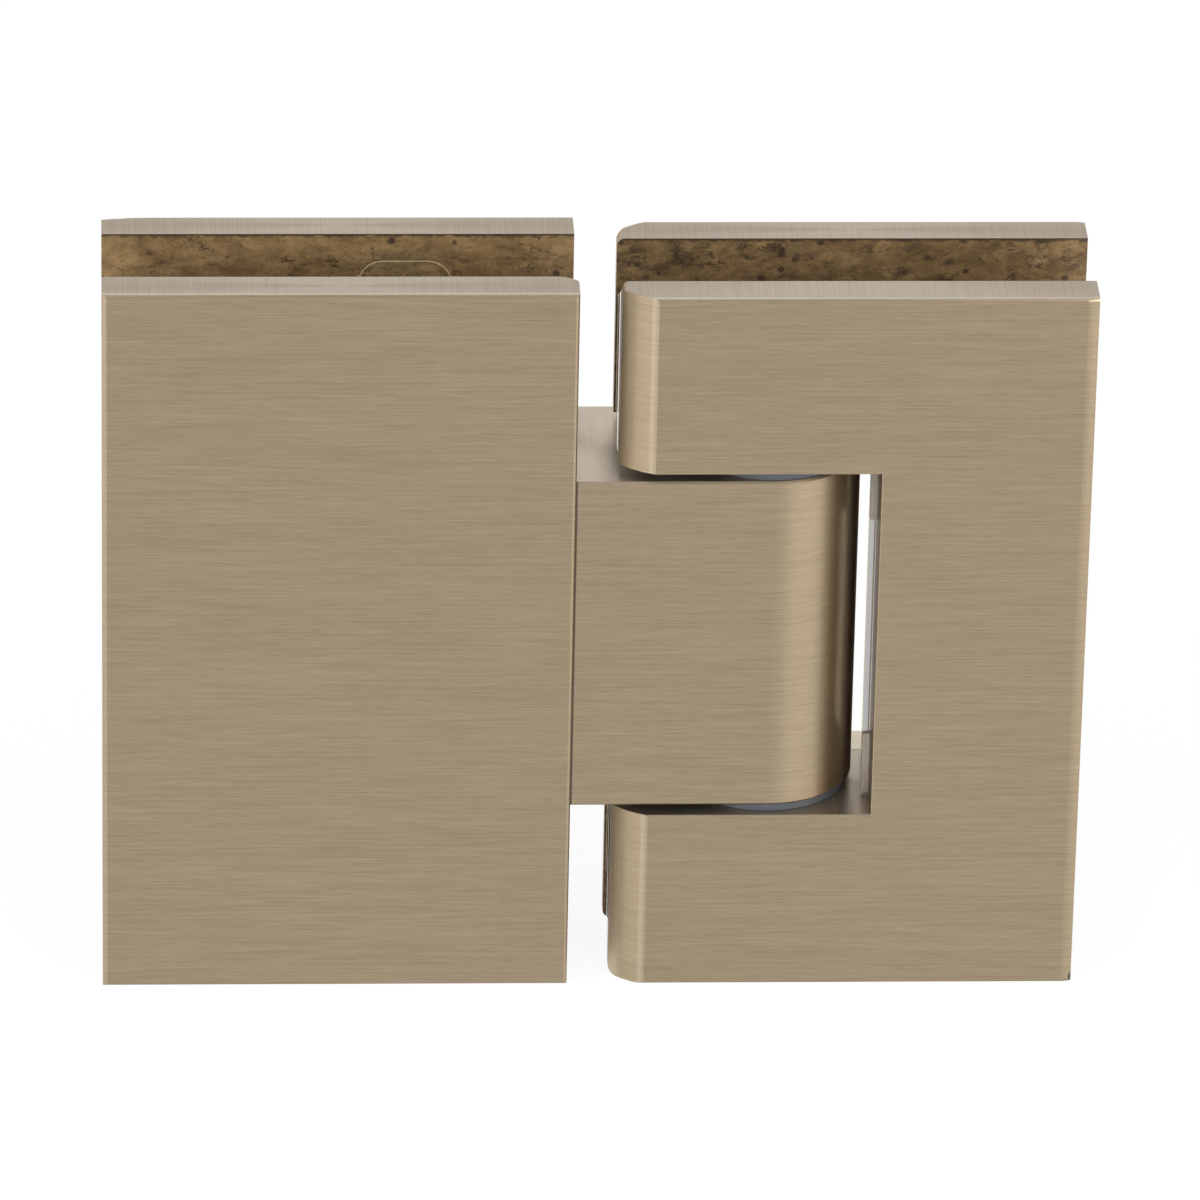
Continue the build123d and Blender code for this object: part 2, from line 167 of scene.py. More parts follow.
def step(tree, value, low, high):
    """A smooth step from 0 at low to 1 at high."""
    values = {"Value": value, "From Min": low, "From Max": high}
    return node(tree, "ShaderNodeMapRange", values, interpolation_type="SMOOTHSTEP").outputs[0]


def span(tree, value, low, high):
    """A value from 0 to 1 carried straight to the span from low to high."""
    return node(tree, "ShaderNodeMapRange", {"Value": value, "To Min": low, "To Max": high}).outputs[0]


def between(tree, value, low, high, soft):
    """1 from low to high and 0 outside, with soft ends."""
    rise = step(tree, value, low - soft, low + soft)
    return times(tree, rise, opposite(tree, step(tree, value, high - soft, high + soft)))


# The Mix node's sockets for each kind of value: the two that are mixed, and the result
MIX_SOCKETS = {"FLOAT": (2, 3, 0), "VECTOR": (4, 5, 1), "RGBA": (6, 7, 2)}


def blend(tree, factor, a, b, kind="RGBA"):
    """Two colours, vectors or numbers mixed by factor."""
    first, second, result = MIX_SOCKETS[kind]
    return node(tree, "ShaderNodeMix", {0: factor, first: a, second: b}, data_type=kind).outputs[result]


def tint(tree, tone, mask, colour, strength):
    """A tone carried towards a colour where a mask is 1, by strength."""
    return blend(tree, times(tree, mask, strength), tone, colour)


def split(tree, vector):
    """A vector's X, Y and Z."""
    return node(tree, "ShaderNodeSeparateXYZ", {0: vector}).outputs


def mapped(tree, vector, scale, location=(0, 0, 0), rotation=(0, 0, 0)):
    """A vector scaled, turned and moved by a Mapping node."""
    values = {"Vector": vector, "Location": location, "Rotation": rotation, "Scale": scale}
    return node(tree, "ShaderNodeMapping", values).outputs[0]


def noise(tree, vector, scale=1.0, detail=2.0, roughness=0.5, distortion=0.0):
    """Noise from 0 to 1 on a vector."""
    values = {
        "Vector": vector, "Scale": scale, "Detail": detail, "Roughness": roughness, "Distortion": distortion,
    }
    return node(tree, "ShaderNodeTexNoise", values).outputs[0]


def field(tree, vector, scale, detail, roughness, distortion=0.0, location=(0, 0, 0), rotation=(0, 0, 0)):
    """Noise on a vector that is first scaled, turned and moved, so that it can be drawn out one way."""
    return noise(tree, mapped(tree, vector, scale, location, rotation), 1.0, detail, roughness, distortion)


def bumped(tree, height, strength, depth):
    """A normal tilted by a height."""
    values = {"Strength": strength, "Distance": depth, "Height": height}
    return node(tree, "ShaderNodeBump", values).outputs[0]


def cells(tree, vector, scale):
    """Distance to the nearest of a scatter of points, in cells, and two random values for each point."""
    made = node(tree, "ShaderNodeTexVoronoi", {"Vector": vector, "Scale": scale}, voronoi_dimensions="3D")
    chance = node(tree, "ShaderNodeSeparateColor", {0: made.outputs["Color"]}).outputs
    return made.outputs["Distance"], chance[0], chance[1]


def dots(tree, vector, scale, share, radius, ragged=0.0):
    """Round marks on a share of the scattered points, each up to radius wide in cells, with a ragged
    rim."""
    distance, chance, size = cells(tree, vector, scale)
    if ragged:
        grain = noise(tree, vector, scale=6.0 * scale, detail=2.0, roughness=0.6)
        distance = maths(tree, "ADD", distance, times(tree, centred(tree, grain), ragged))
    reach = span(tree, size, 0.35 * radius, radius)
    mark = opposite(tree, step(tree, maths(tree, "DIVIDE", distance, reach), 0.75, 1.1))
    return times(tree, mark, maths(tree, "LESS_THAN", chance, share))


# Effects that several finishes share
FLOAT = "NodeSocketFloat"
VECTOR = "NodeSocketVector"


def new_group(name, inputs, outputs):
    """A shader node group with float or vector inputs (name, kind, value) and outputs (name, kind)."""
    group = bpy.data.node_groups.new(name, "ShaderNodeTree")
    for label, kind, value in inputs:
        socket = group.interface.new_socket(label, in_out="INPUT", socket_type=kind)
        if value is not None:
            socket.default_value = value
    for label, kind in outputs:
        group.interface.new_socket(label, in_out="OUTPUT", socket_type=kind)
    return group, group.nodes.new("NodeGroupInput").outputs, group.nodes.new("NodeGroupOutput").inputs


def placed(tree, group, values):
    """A group placed in a material with its own values."""
    return node(tree, "ShaderNodeGroup", values, node_tree=group).outputs


def brush_group():
    """Brush strokes: long and short stretched noises for the strokes and a broad one for uneven
    pressure."""
    tree, given, out = new_group(
        "brush_strokes",
        [("Vector", VECTOR, None), ("Unevenness", FLOAT, 0.5)],
        [("Strokes", FLOAT), ("Height", FLOAT)],
    )
    vector = given["Vector"]
    long_strokes = noise(tree, vector, detail=2.0, roughness=0.6)
    short_strokes = field(tree, vector, (3.4, 3.4, 1.7), detail=2.0, roughness=0.6, location=(7.1, 3.3, 1.7))
    pressure = field(tree, vector, (0.3, 0.3, 0.1), detail=2.0, roughness=0.5, location=(2.0, 5.0, 9.0))
    strokes = maths(tree, "ADD", times(tree, long_strokes, 0.6), times(tree, short_strokes, 0.4))
    uneven = times(tree, centred(tree, pressure), given["Unevenness"])
    feed(tree, out, {"Strokes": maths(tree, "ADD", strokes, uneven), "Height": strokes})
    return tree


def tarnish_and_shade_group():
    """Raw brass left under the glass: cloudy swirls, olive patches, dark round stains, ragged smears, specks
    that gather in patches, thin bent scratches, a painted shadow as a dark ragged line under the top edge,
    and painted shade that deepens the tone further down."""
    tree, given, out = new_group(
        "raw_brass_tarnish_and_shade",
        [("Vector", VECTOR, None), ("Stains", FLOAT, 0.2), ("Smears", FLOAT, 0.5), ("Top", FLOAT, FIXED_TOP)],
        [("Cloud", FLOAT), ("Olive", FLOAT), ("Dark", FLOAT), ("Scratches", FLOAT), ("Deep", FLOAT)],
    )
    vector = given["Vector"]
    below = maths(tree, "SUBTRACT", given["Top"], split(tree, vector)["Z"])

    cloud = field(tree, vector, (260, 260, 480), detail=6.0, roughness=0.72, distortion=0.5)
    olive = field(tree, vector, (120, 120, 260), detail=3.0, roughness=0.6, location=(3.0, 2.0, 6.0))
    gather = field(tree, vector, (190, 190, 260), detail=2.0, roughness=0.6, location=(6.0, 4.0, 1.0))
    gather = step(tree, gather, 0.4, 0.62)

    smear_field = field(
        tree, vector, (380, 380, 640), detail=6.0, roughness=0.76, distortion=0.7,
        location=(4.2, 1.1, 8.3), rotation=(0.0, 0.35, 0.0),
    )
    smear_limit = span(tree, given["Smears"], 0.72, 0.48)
    smears = step(tree, maths(tree, "SUBTRACT", smear_field, smear_limit), 0.0, 0.05)
    smears = times(tree, smears, span(tree, gather, 0.3, 1.0))
    stains = dots(tree, vector, 420.0, given["Stains"], radius=0.3, ragged=0.22)
    speck_field = field(tree, vector, (2600, 2600, 2600), detail=2.0, roughness=0.65)
    specks = times(tree, step(tree, speck_field, 0.57, 0.68), span(tree, gather, 0.3, 0.85))

    # Painted shadow: a dark ragged line just under the top edge
    ragged = field(tree, vector, (700, 700, 700), detail=3.0, roughness=0.7, location=(1.0, 9.0, 4.0))
    rim = maths(tree, "DIVIDE", below, span(tree, ragged, -0.4 * MM, 1.5 * MM))
    rim = opposite(tree, step(tree, rim, 0.35, 0.9))

    line_field = field(
        tree, vector, (130, 130, 190), detail=3.0, roughness=0.7,
        location=(9.0, 0.4, 3.1), rotation=(0.0, 0.5, 0.0),
    )
    lines = opposite(tree, step(tree, maths(tree, "ABSOLUTE", centred(tree, line_field)), 0.002, 0.01))

    marks = maths(tree, "MAXIMUM", smears, stains)
    feed(tree, out, {
        "Cloud": cloud,
        "Olive": step(tree, olive, 0.5, 0.66),
        # Dark: stains, smears and specks, and the painted shadow line under the top edge
        "Dark": maths(tree, "MAXIMUM", marks, maths(tree, "MAXIMUM", specks, rim)),
        "Scratches": times(tree, lines, gather),
        # Deep: painted shade that darkens the raw brass further below the top
        "Deep": step(tree, below, *DEEP_BELOW_TOP),
    })
    return tree


def faces_group():
    """Masks of the hinge's faces: Ends are the level faces, and where Sides is 1 also those that look along
    X, and Inside is what lies in the gap and looks across it."""
    tree, given, out = new_group(
        "hinge_faces",
        [("Gap", FLOAT, INNER_FACE), ("Sides", FLOAT, 1.0)],
        [("Ends", FLOAT), ("Inside", FLOAT)],
    )
    coordinates = node(tree, "ShaderNodeTexCoord").outputs
    normal = split(tree, coordinates["Normal"])
    point = split(tree, coordinates["Object"])
    sideways = times(tree, maths(tree, "ABSOLUTE", normal["X"]), given["Sides"])
    edgeways = maths(tree, "MAXIMUM", maths(tree, "ABSOLUTE", normal["Z"]), sideways)
    past_gap = maths(tree, "SUBTRACT", maths(tree, "ABSOLUTE", point["Y"]), given["Gap"])
    in_gap = opposite(tree, step(tree, past_gap, 0.03 * MM, 0.12 * MM))
    across = step(tree, maths(tree, "ABSOLUTE", normal["Y"]), 0.6, 0.8)
    feed(tree, out, {"Ends": step(tree, edgeways, 0.8, 0.95), "Inside": times(tree, in_gap, across)})
    return tree


def flaws_group():
    """Flaws of the plating: sparse dark pits, and sparse light nicks drawn out along the brush strokes."""
    tree, given, out = new_group(
        "plating_flaws", [("Vector", VECTOR, None)], [("Pits", FLOAT), ("Nicks", FLOAT)]
    )
    drawn_out = mapped(tree, given["Vector"], (0.3, 0.3, 1.0))
    feed(tree, out, {
        "Pits": dots(tree, given["Vector"], 330.0, share=0.3, radius=0.035),
        "Nicks": dots(tree, drawn_out, 260.0, share=0.25, radius=0.03),
    })
    return tree


BRUSH = brush_group()
TARNISH_AND_SHADE = tarnish_and_shade_group()
FACES = faces_group()
FLAWS = flaws_group()

# Colours of the bronze and the brass: red, green and blue
BRONZE_STROKES = ((0.26, 0.2, 0.126), (0.374, 0.293, 0.192))
# Lighter tones of the ends: partly their cross-brushed finish, partly painted light on the level faces; the
# knuckle's ends carry more painted light
PLATE_END_STROKES = ((0.432, 0.38, 0.315), (0.522, 0.47, 0.397))
KNUCKLE_END_STROKES = ((0.57, 0.509, 0.432), (0.62, 0.558, 0.473))
# Painted shade on the nose's far side
HIDDEN_NOSE_SHADE = (0.09, 0.045, 0.02)
# Painted shade where the arms and the nose cover the level faces
COVERED_SHADE = (0.16, 0.13, 0.1)
# Painted highlight along the crease
CREASE_HIGHLIGHT = (0.7, 0.63, 0.53)
# Painted light at the arms' near ends
NEAR_END_LIGHT = (0.72, 0.62, 0.48)
# Painted light on the back plate's window walls
WALL_LIGHT = (0.78, 0.71, 0.58)
JOINT_DARK = (0.03, 0.025, 0.02)
SEAM_DARK = (0.06, 0.05, 0.04)
PIT_DARK = (0.07, 0.055, 0.045)
NICK_LIGHT = (0.62, 0.54, 0.42)
MARK_DARK = (0.04, 0.035, 0.035)
DARK_BRASS = (0.165, 0.101, 0.042)
LIGHT_BRASS = (0.49, 0.317, 0.145)
OLIVE_BRASS = (0.225, 0.158, 0.07)
SCRATCH_BROWN = (0.06, 0.038, 0.024)
# Brown of the stains and of the painted shadow line under the top edge
STAIN_AND_SHADOW_BROWN = (0.04, 0.026, 0.019)
# Painted shade deep in the gap
DEEP_SHADE = (0.03, 0.02, 0.014)

# A gap that no point lies in, for a piece with no raw face
NO_GAP = -INNER_FACE


def new_material(name):
    """An empty material: its tree and its Principled BSDF."""
    made = bpy.data.materials.new(name)
    made.use_nodes = True
    return made, made.node_tree, made.node_tree.nodes["Principled BSDF"]


def stroke_vector(tree, place, ends):
    """Strokes run level round the upright faces, and across the thickness on the ends."""
    along = mapped(tree, place, (140, 140, 6800))
    across = mapped(tree, place, (4200, 45, 45))
    return blend(tree, ends, along, across, "VECTOR")


def marked(tree, place, marks):
    """Dark marks: for each, the distance from its point, in reaches along X, Y and Z, with a ragged rim."""
    ragged = centred(tree, noise(tree, place, scale=2600.0, detail=4.0, roughness=0.7))
    darkest = None
    for point, reach in marks:
        away = node(tree, "ShaderNodeVectorMath", {0: place, 1: point}, operation="SUBTRACT").outputs[0]
        away = mapped(tree, away, tuple(1.0 / r for r in reach))
        length = node(tree, "ShaderNodeVectorMath", {0: away}, operation="LENGTH").outputs["Value"]
        length = maths(tree, "ADD", length, times(tree, ragged, 1.2))
        mark = opposite(tree, step(tree, length, 0.8, 1.1))
        darkest = mark if darkest is None else maths(tree, "MAXIMUM", darkest, mark)
    return darkest


def beside_window(tree, point):
    """Level with the window, its level walls included."""
    reach = WINDOW_HALF + WINDOW_MARGIN
    return between(tree, point["Z"], -reach, reach, 0.2 * MM)


def under_arms(tree, point):
    """Where painted shade falls on the knuckle's ends under the arms, in part."""
    return times(tree, step(tree, point["X"], *ARM_SHADE), 0.6)


def under_nose(tree, point):
    """Where painted shade falls on the window's level walls under the knuckle's nose, in part."""
    near = opposite(tree, step(tree, point["X"], *NOSE_SHADE))
    near = times(tree, near, opposite(tree, step(tree, point["Y"], 0.0, INNER_FACE)))
    return times(tree, beside_window(tree, point), near, 0.4)


def knuckle_face(tree, tone, point, normal):
    """The knuckle's brushed tone, with painted shade on the side of the nose that the window's wall hides,
    and nearly black along the joint with the fixed plates."""
    # Painted shade on the side of the nose that faces the window's wall
    hidden = step(tree, normal["X"], 0.78, 0.94)
    tone = tint(tree, tone, hidden, HIDDEN_NOSE_SHADE, strength=0.8)
    joint = opposite(tree, step(tree, point["X"], *JOINT_LINE))
    return tint(tree, tone, joint, JOINT_DARK, strength=0.85)


def plate_face(tree, tone, point):
    """The plates' brushed tone, with a painted highlight along the crease of the arms and painted light at
    their near ends.
    """
    # Painted highlight along the crease
    crease = between(tree, point["X"], *CREASE, 0.2 * MM)
    tone = tint(tree, tone, crease, CREASE_HIGHLIGHT, strength=0.15)
    # Painted light at the near ends
    lit_end = between(tree, point["X"], *LIT_NEAR_END, 0.6 * MM)
    return tint(tree, tone, lit_end, NEAR_END_LIGHT, strength=0.55)


def window_walls(tree, tone, point):
    """The tone of the window's walls: painted light on the back plate, with a dark line at the seam between
    the plates."""
    window = times(tree, beside_window(tree, point), maths(tree, "LESS_THAN", point["X"], WALL_REACH))
    # Painted light on the back plate's part of the window's walls
    past_seam = times(tree, window, step(tree, point["Y"], INNER_FACE, INNER_FACE + 0.1 * MM))
    tone = tint(tree, tone, past_seam, WALL_LIGHT, strength=0.8)
    from_seam = maths(tree, "ABSOLUTE", maths(tree, "SUBTRACT", point["Y"], INNER_FACE))
    seam = opposite(tree, step(tree, from_seam, 0.04 * MM, 0.1 * MM))
    return tint(tree, tone, times(tree, window, seam), SEAM_DARK, strength=0.7)


def raw_brass(tree, tarnish_and_shade, shade, point):
    """Tarnished brass: clouds from dark to light, with olive patches, scratches, stains and a painted shadow
    line under the top edge over them, and painted shade further down, except at the near ends of the door
    plates, under the height BRIGHT_BELOW_Z."""
    dark, light, olive = (tuple(shade * c for c in tone) for tone in (DARK_BRASS, LIGHT_BRASS, OLIVE_BRASS))
    brass = blend(tree, step(tree, tarnish_and_shade["Cloud"], 0.25, 0.75), dark, light)
    brass = tint(tree, brass, tarnish_and_shade["Olive"], olive, strength=0.4)
    brass = tint(tree, brass, tarnish_and_shade["Scratches"], SCRATCH_BROWN, strength=0.75)
    # Stains, smears and specks, and the painted shadow line under the top edge
    brass = tint(tree, brass, tarnish_and_shade["Dark"], STAIN_AND_SHADOW_BROWN, strength=0.85)
    # No painted deep shade near the door plates' ends, below a height
    bright = between(tree, point["X"], *BRIGHT_END, 0.5 * MM)
    bright = times(tree, bright, opposite(tree, step(tree, point["Z"], *BRIGHT_BELOW_Z)))
    return blend(tree, times(tree, tarnish_and_shade["Deep"], span(tree, bright, 0.65, 0.0)), brass, DEEP_SHADE)


def satin_bronze(name, raw, end_strokes, covered=None, windowed=False, knuckle=False, marks=()):
    """Brushed bronze plating, with raw tarnished brass where a plate looks into the gap for the glass. The
    ends have their own lighter tones, partly their brushed finish and partly painted light, and painted shade
    where they are covered. A windowed plate also has the tones of the window's walls, with painted light on
    the back plate. The knuckle has no raw face."""
    material, tree, shader = new_material(name)
    coordinates = node(tree, "ShaderNodeTexCoord").outputs
    place = coordinates["Object"]
    point = split(tree, place)
    gap, sides = (NO_GAP, 0.0) if knuckle else (INNER_FACE, 1.0)
    faces = placed(tree, FACES, {"Gap": gap, "Sides": sides})
    flaws = placed(tree, FLAWS, {"Vector": place})
    brush = placed(tree, BRUSH, {"Vector": stroke_vector(tree, place, faces["Ends"]), "Unevenness": 0.12})
    tarnish_and_shade = placed(tree, TARNISH_AND_SHADE, {
        "Vector": place, "Stains": raw["stains"], "Smears": raw["smears"], "Top": raw["top"],
    })

    stroke = step(tree, brush["Strokes"], 0.25, 0.75)
    face_tone = blend(tree, stroke, *BRONZE_STROKES)
    if knuckle:
        face_tone = knuckle_face(tree, face_tone, point, split(tree, coordinates["Normal"]))
    else:
        face_tone = plate_face(tree, face_tone, point)
    # The ends' lighter tone: partly their finish, partly painted light
    end_tone = blend(tree, stroke, *end_strokes)
    # Painted shade where something covers the ends
    if covered:
        end_tone = blend(tree, covered(tree, point), end_tone, COVERED_SHADE)
    if windowed:
        end_tone = window_walls(tree, end_tone, point)

    plated = blend(tree, faces["Ends"], face_tone, end_tone)
    plated = tint(tree, plated, flaws["Pits"], PIT_DARK, strength=0.75)
    plated = tint(tree, plated, flaws["Nicks"], NICK_LIGHT, strength=0.5)
    if marks:
        plated = tint(tree, plated, marked(tree, place, marks), MARK_DARK, strength=0.85)

    plated_rough = span(tree, stroke, 0.42, 0.32)
    raw_rough = span(tree, tarnish_and_shade["Cloud"], 0.62, 0.42)
    feed(tree, shader.inputs, {
        "Base Color": blend(tree, faces["Inside"], plated, raw_brass(tree, tarnish_and_shade, raw["shade"], point)),
        "Metallic": span(tree, faces["Inside"], 1.0, 0.7),
        "Roughness": blend(tree, faces["Inside"], plated_rough, raw_rough, "FLOAT"),
        "Normal": bumped(tree, brush["Height"], 0.22, 0.02 * MM),
        "Specular Tint": (0.5, 0.38, 0.26),
        "Anisotropic": 0.6,
        "Anisotropic Rotation": 0.25,
        "Coat Weight": 0.5,
        "Coat Roughness": 0.35,
    })
    return material


def acetal():
    """Dark moulded bearing plastic, faintly mottled, with a soft sheen."""
    material, tree, shader = new_material("acetal_bearing")
    place = node(tree, "ShaderNodeTexCoord").outputs["Object"]
    mottle = field(tree, place, (900, 900, 900), detail=4.0, roughness=0.6)
    feed(tree, shader.inputs, {
        "Base Color": blend(tree, mottle, (0.034, 0.038, 0.045), (0.056, 0.061, 0.071)),
        "Roughness": span(tree, mottle, 0.36, 0.5),
        "Normal": bumped(tree, mottle, 0.2, 0.02 * MM),
    })
    return material


def clear_vinyl():
    """Clear soft sheet, faintly rippled, and grey along the free strip past the window's wall. Its cut rim
    and the free edge beside the upper arm glow with painted light, and light passes the sheet to what lies
    under."""
    clear, grey = (0.93, 0.95, 0.95), (0.46, 0.455, 0.45)
    unlit, rim_glow, edge_glow = (0.0, 0.0, 0.0), (0.26, 0.2, 0.12), (0.6, 0.58, 0.56)
    material, tree, shader = new_material("clear_vinyl_sheet")
    place = node(tree, "ShaderNodeTexCoord").outputs["Object"]
    point = split(tree, place)
    ripple = field(tree, place, (160, 160, 90), detail=3.0, roughness=0.5)
    level = between(tree, point["Z"], -WINDOW_HALF, WINDOW_HALF, 0.05 * MM)
    strip = times(tree, level, between(tree, point["X"], *SHEET_STRIP, 0.03 * MM))
    rim = node(tree, "ShaderNodeAttribute", attribute_name="rim").outputs["Fac"]
    upper = step(tree, point["Z"], 0.0, 1.0 * MM)
    free_edge = times(tree, between(tree, point["X"], *SHEET_FREE_EDGE, 0.05 * MM), upper)
    shadow = node(tree, "ShaderNodeLightPath").outputs["Is Shadow Ray"]
    feed(tree, shader.inputs, {
        "Base Color": blend(tree, strip, clear, grey),
        "Roughness": span(tree, ripple, 0.03, 0.08),
        "IOR": 1.2,
        "Transmission Weight": 1.0,
        "Alpha": span(tree, shadow, 1.0, 0.1),
        # Painted glow on the cut rim and on the free edge beside the upper arm
        "Emission Color": blend(tree, free_edge, blend(tree, rim, unlit, rim_glow), edge_glow),
        "Emission Strength": 1.0,
        "Normal": bumped(tree, ripple, 0.2, 0.1 * MM),
    })
    return material


def cloudy_vinyl():
    """The same sheet where it stands on edge in the window: smoky, with faint upright streaks."""
    material, tree, shader = new_material("cloudy_vinyl_tab")
    place = node(tree, "ShaderNodeTexCoord").outputs["Object"]
    streaks = field(tree, place, (2600, 2600, 240), detail=3.0, roughness=0.6)
    smoke = blend(tree, step(tree, streaks, 0.3, 0.7), (0.165, 0.145, 0.119), (0.225, 0.2, 0.168))
    feed(tree, shader.inputs, {
        "Base Color": smoke,
        "Roughness": span(tree, streaks, 0.35, 0.5),
        "Normal": bumped(tree, streaks, 0.15, 0.05 * MM),
    })
    return material


def turned_metal(name, dark, light, smooth, rough, scale):
    """Turned or drawn metal: fine marks on the object's own coordinates, with grime in patches."""
    material, tree, shader = new_material(name)
    place = node(tree, "ShaderNodeTexCoord").outputs["Object"]
    brush = placed(tree, BRUSH, {"Vector": mapped(tree, place, scale), "Unevenness": 0.4})
    # Far above, so no painted shadow line falls under a top edge here
    far_above = 1.0
    grime = placed(tree, TARNISH_AND_SHADE, {"Vector": place, "Stains": 0.05, "Smears": 0.15, "Top": far_above})
    tone = blend(tree, step(tree, brush["Strokes"], 0.3, 0.7), dark, light)
    feed(tree, shader.inputs, {
        "Base Color": tint(tree, tone, grime["Dark"], tuple(0.35 * c for c in dark), strength=0.35),
        "Metallic": 1.0,
        "Roughness": span(tree, brush["Strokes"], rough, smooth),
        "Normal": bumped(tree, brush["Height"], 0.25, 0.01 * MM),
    })
    return material


# Finishes. A mark is its point and its reach along X, Y and Z
FIXED_RAW = {"shade": 0.79, "stains": 0.12, "smears": 0.6, "top": FIXED_TOP}
DOOR_RAW = {"shade": 0.66, "stains": 0.28, "smears": 0.85, "top": DOOR_TOP}
TOP_SMUDGE = ((FIXED_END - 9.5 * MM, OUTER_FACE - 0.1 * MM, FIXED_TOP), (1.3 * MM, 0.25 * MM, 0.25 * MM))
CORNER_CHIP = ((DOOR_HIGH.x, -OUTER_FACE, DOOR_LOW.z + 0.7 * MM), (0.4 * MM, 0.5 * MM, 0.7 * MM))

FIXED_PLATE = satin_bronze("satin_bronze_fixed_plates", FIXED_RAW, PLATE_END_STROKES, marks=[TOP_SMUDGE])
DOOR_PLATE = satin_bronze(
    "satin_bronze_door_plates", DOOR_RAW, PLATE_END_STROKES, under_nose, windowed=True, marks=[CORNER_CHIP]
)
KNUCKLE = satin_bronze("satin_bronze_knuckle", FIXED_RAW, KNUCKLE_END_STROKES, under_arms, knuckle=True)
ACETAL = acetal()
VINYL = clear_vinyl()
VINYL_TAB = cloudy_vinyl()
SCREW = turned_metal("screw_steel", (0.38, 0.38, 0.37), (0.58, 0.58, 0.57), 0.22, 0.4, (2600, 900, 2600))
PIN = turned_metal("pin_steel", (0.42, 0.42, 0.43), (0.6, 0.6, 0.61), 0.16, 0.3, (400, 400, 4000))
PLUNGER = turned_metal("plunger_brass", (0.42, 0.3, 0.12), (0.62, 0.46, 0.2), 0.2, 0.34, (4000, 500, 500))
SPRING = turned_metal("spring_steel", (0.3, 0.3, 0.31), (0.5, 0.5, 0.51), 0.25, 0.4, (1500, 1500, 1500))

FINISHES = {
    FIXED_PLATE: ("fixed_front_plate", "fixed_back_plate"),
    DOOR_PLATE: ("door_front_plate", "door_back_plate"),
    KNUCKLE: ("knuckle_block",),
    ACETAL: ("upper_bush", "lower_bush"),
    VINYL: ("fixed_front_gasket", "fixed_back_gasket", "door_front_gasket", "door_back_gasket"),
    SCREW: (
        "fixed_upper_clamp_screw", "fixed_lower_clamp_screw",
        "door_upper_clamp_screw", "door_lower_clamp_screw",
        "upper_spring_screw", "lower_spring_screw", "upper_pin_screw", "lower_pin_screw",
    ),
    PIN: ("pivot_pin",),
    PLUNGER: ("upper_plunger", "lower_plunger"),
    SPRING: ("upper_spring", "lower_spring"),
}
for material, names in FINISHES.items():
    for name in names:
        for slot in NODES[name].material_slots:
            slot.material = material


# Pieces worked out with numpy
def surface(name, points, material, body, sharp, rim=None):
    """A closed skin on a grid of points, rows by columns: quads between neighbours, columns joined end to
    end, and the first and last rows filled. It is turned outwards if its signed volume is below zero. Edges
    sharper than sharp, in degrees, stay sharp. A rim value for each row goes to all the points of that
    row."""
    rows, columns = points.shape[:2]
    index = np.arange(rows * columns).reshape(rows, columns)
    beside = np.roll(index, -1, axis=1)
    quads = np.stack((index[:-1], beside[:-1], beside[1:], index[1:]), axis=-1).reshape(-1, 4)
    flat = points.reshape(-1, 3)
    a, b, c, d = (flat[quads[:, k]] for k in range(4))
    volume = np.sum(np.cross(a, b) * c) + np.sum(np.cross(a, c) * d)
    for ring, sign in ((points[0], -1.0), (points[-1], 1.0)):
        centre = ring.mean(axis=0)
        volume += sign * np.sum(np.cross(ring, np.roll(ring, -1, axis=0)) * centre)
    faces = quads.tolist() + [index[0, ::-1].tolist(), index[-1].tolist()]
    if volume < 0:
        faces = [face[::-1] for face in faces]
    mesh = bpy.data.meshes.new(name)
    mesh.from_pydata(flat.tolist(), [], faces)
    mesh.polygons.foreach_set("use_smooth", np.ones(len(mesh.polygons), bool))
    mesh.set_sharp_from_angle(angle=np.radians(sharp))
    mesh.materials.append(material)
    if rim is not None:
        mesh.attributes.new("rim", "FLOAT", "POINT").data.foreach_set("value", np.repeat(rim, columns))
    made = bpy.data.objects.new(name, mesh)
    bpy.context.scene.collection.objects.link(made)
    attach(made, body)
    return made


def coil_spring(name, stands_for):
    """A wire carried along a helix about X. The radius is constant, and the pitch falls to about the wire's
    thickness at both ends, so that the end turns lie closed. The coil is as long and as wide as the CAD's
    sleeve."""
    wire = 0.35 * MM
    turns = 9.0
    closed_turns = 1.2
    closed_pitch = 0.45
    low, high = (np.array(corner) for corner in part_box(stands_for))
    middle = (low + high) / 2
    coil = (high[2] - low[2]) / 2 - wire
    share = np.linspace(0.0, 1.0, 721)
    ends = np.clip(np.minimum(share, 1.0 - share) * turns / closed_turns, 0.0, 1.0)
    pitch = closed_pitch + (1.0 - closed_pitch) * ends * ends * (3.0 - 2.0 * ends)
    along = np.concatenate(([0.0], np.cumsum((pitch[1:] + pitch[:-1]) / 2)))
    along = low[0] + wire + (high[0] - low[0] - 2.0 * wire) * along / along[-1]
    turn = 2.0 * np.pi * turns * share
    outward = np.stack((np.zeros_like(turn), np.cos(turn), np.sin(turn)), axis=-1)
    axis = np.stack((along, np.full_like(turn, middle[1]), np.full_like(turn, middle[2])), axis=-1)
    line = coil * outward + axis
    tangent = np.gradient(line, axis=0)
    tangent /= np.linalg.norm(tangent, axis=1, keepdims=True)
    across = np.cross(tangent, outward)
    around = np.linspace(0.0, 2.0 * np.pi, 14, endpoint=False)
    points = line[:, None] + wire * (
        np.cos(around)[None, :, None] * outward[:, None] + np.sin(around)[None, :, None] * across[:, None]
    )
    made = surface(name, points, SPRING, "fixed_leaf", 60.0)
    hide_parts(stands_for)
    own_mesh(made)
    return made


